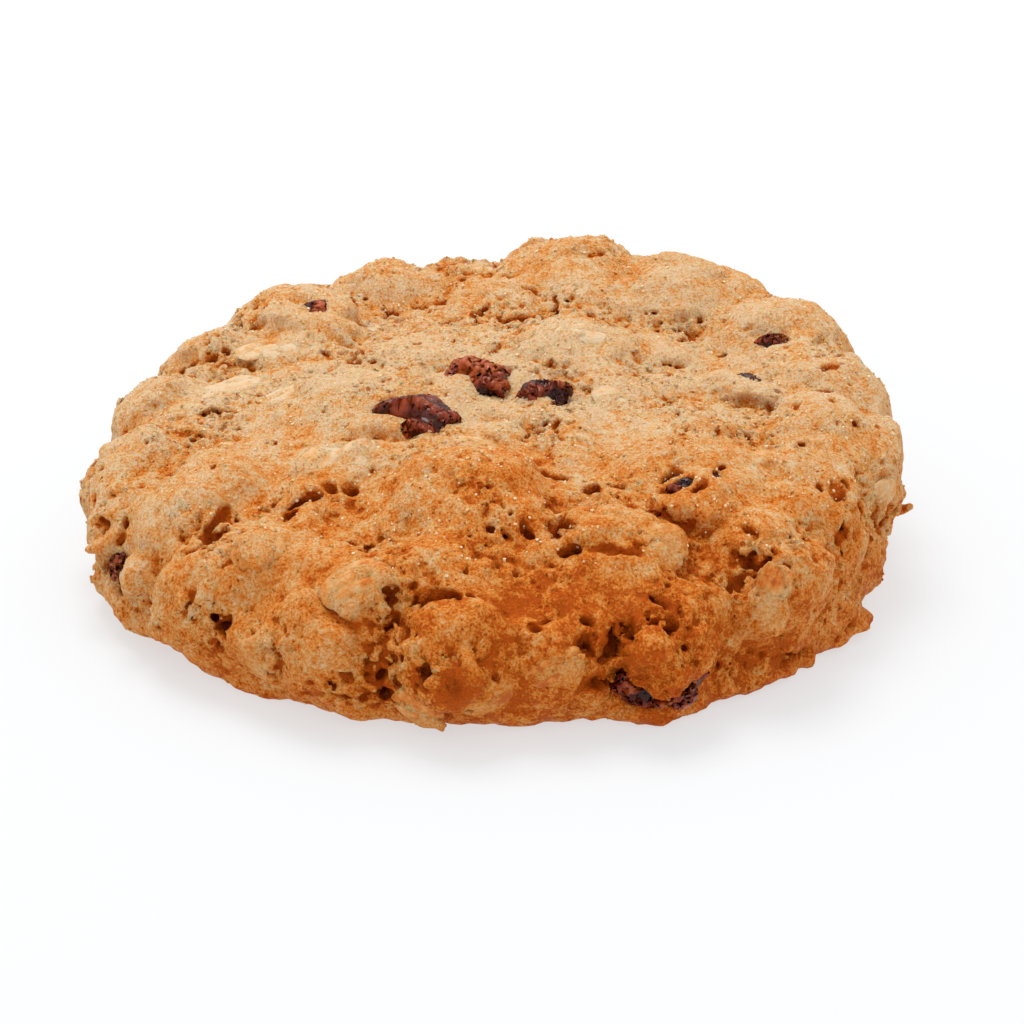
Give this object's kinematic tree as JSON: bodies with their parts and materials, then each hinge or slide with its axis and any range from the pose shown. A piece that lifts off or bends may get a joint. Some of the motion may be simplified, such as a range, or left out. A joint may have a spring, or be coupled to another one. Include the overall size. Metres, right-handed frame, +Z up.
{
  "type": "oatmeal raisin cookie",
  "caption": "Thick round baked cookie of lumpy oat dough with a flat underside, with raisins sunk in pockets in its top and sides.",
  "frame": {"origin": "on the surface the cookie lies on, under the middle of its outline", "axes": "+Z up through the thickness, -Y towards the front, where the raisin under the lump of dough shows, +X to the right"},
  "size_m": [0.0946, 0.0934, 0.0253],
  "materials": {
    "crust": "matte",
    "raisin_skin": "satin"
  },
  "bodies": {
    "root": {"dough": "crust", "raisin_front": "raisin_skin", "raisin_middle": "raisin_skin", "raisin_small": "raisin_skin", "raisin_back_right": "raisin_skin", "raisin_right": "raisin_skin", "raisin_front_right": "raisin_skin", "raisin_under_lump": "raisin_skin", "raisin_left": "raisin_skin", "raisin_back_left": "raisin_skin"}
  },
  "joints": []
}
